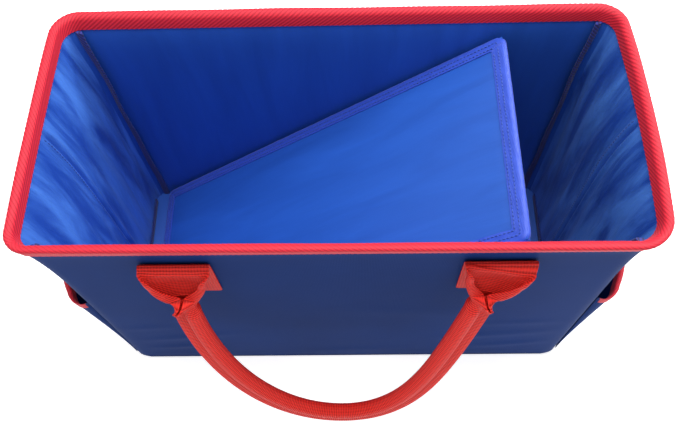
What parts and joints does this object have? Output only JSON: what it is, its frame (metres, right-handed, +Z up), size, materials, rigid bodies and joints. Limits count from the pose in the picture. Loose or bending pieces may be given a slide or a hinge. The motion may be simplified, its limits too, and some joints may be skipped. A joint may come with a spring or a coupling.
{
  "type": "cleaning caddy",
  "caption": "Open-topped fabric caddy with stiff walls, a bound rim, drooping webbing handles, end pockets and a loose base board propped at a slant.",
  "frame": {"origin": "middle of the caddy's footprint, on the floor plane", "axes": "+Z up, +X along the length towards the raised end of the base board, -Y towards the front"},
  "size_m": [0.495, 0.3486, 0.284],
  "materials": {
    "outer_fabric": "navy coated polyester, satin",
    "lining_fabric": "royal-blue coated polyester, slight sheen",
    "wall_board": "grey stiffener board",
    "seam_tape": "violet-blue binding tape",
    "rim_tape": "red twill binding tape",
    "webbing": "red ribbed webbing",
    "grip_core": "soft round grip cord",
    "base_board": "grey stiffener board",
    "board_cover": "royal-blue coated polyester, slight sheen",
    "board_tape": "violet-blue binding tape"
  },
  "bodies": {
    "bag": {"front_outer_panel": "outer_fabric", "rear_outer_panel": "outer_fabric", "left_outer_panel": "outer_fabric", "right_outer_panel": "outer_fabric", "floor_outer_panel": "outer_fabric", "left_pocket": "outer_fabric", "right_pocket": "outer_fabric", "front_lining": "lining_fabric", "rear_lining": "lining_fabric", "left_lining": "lining_fabric", "right_lining": "lining_fabric", "floor_lining": "lining_fabric", "front_stiffener": "wall_board", "rear_stiffener": "wall_board", "left_stiffener_front": "wall_board", "left_stiffener_rear": "wall_board", "right_stiffener_front": "wall_board", "right_stiffener_rear": "wall_board", "front_left_corner_binding": "seam_tape", "front_right_corner_binding": "seam_tape", "rear_left_corner_binding": "seam_tape", "rear_right_corner_binding": "seam_tape", "front_floor_seam_binding": "seam_tape", "rear_floor_seam_binding": "seam_tape", "left_floor_seam_binding": "seam_tape", "right_floor_seam_binding": "seam_tape", "rim_binding": "rim_tape", "left_pocket_binding": "rim_tape", "right_pocket_binding": "rim_tape", "front_handle_left_tab": "webbing", "front_handle_right_tab": "webbing", "rear_handle_left_tab": "webbing", "rear_handle_right_tab": "webbing"},
    "front_handle": {"front_handle_webbing": "webbing", "front_handle_core": "grip_core"},
    "rear_handle": {"rear_handle_webbing": "webbing", "rear_handle_core": "grip_core"},
    "base_board": {"base_board_core": "base_board", "base_board_top_cover": "board_cover", "base_board_bottom_cover": "board_cover", "base_board_binding": "board_tape"}
  },
  "joints": [
    {"name": "front_handle_swing", "type": "hinge", "parent": "bag", "child": "front_handle", "pos_m": [0, -0.103, 0.252], "axis": [-1, 0, 0], "range_deg": [-17, 150]},
    {"name": "rear_handle_swing", "type": "hinge", "parent": "bag", "child": "rear_handle", "pos_m": [0, 0.103, 0.252], "axis": [1, 0, 0], "range_deg": [-17, 150]},
    {"name": "base_board_tilt", "type": "hinge", "parent": "bag", "child": "base_board", "pos_m": [-0.208, 0, 0.027], "axis": [0, -1, 0], "range_deg": [-37.8, 52]}
  ]
}
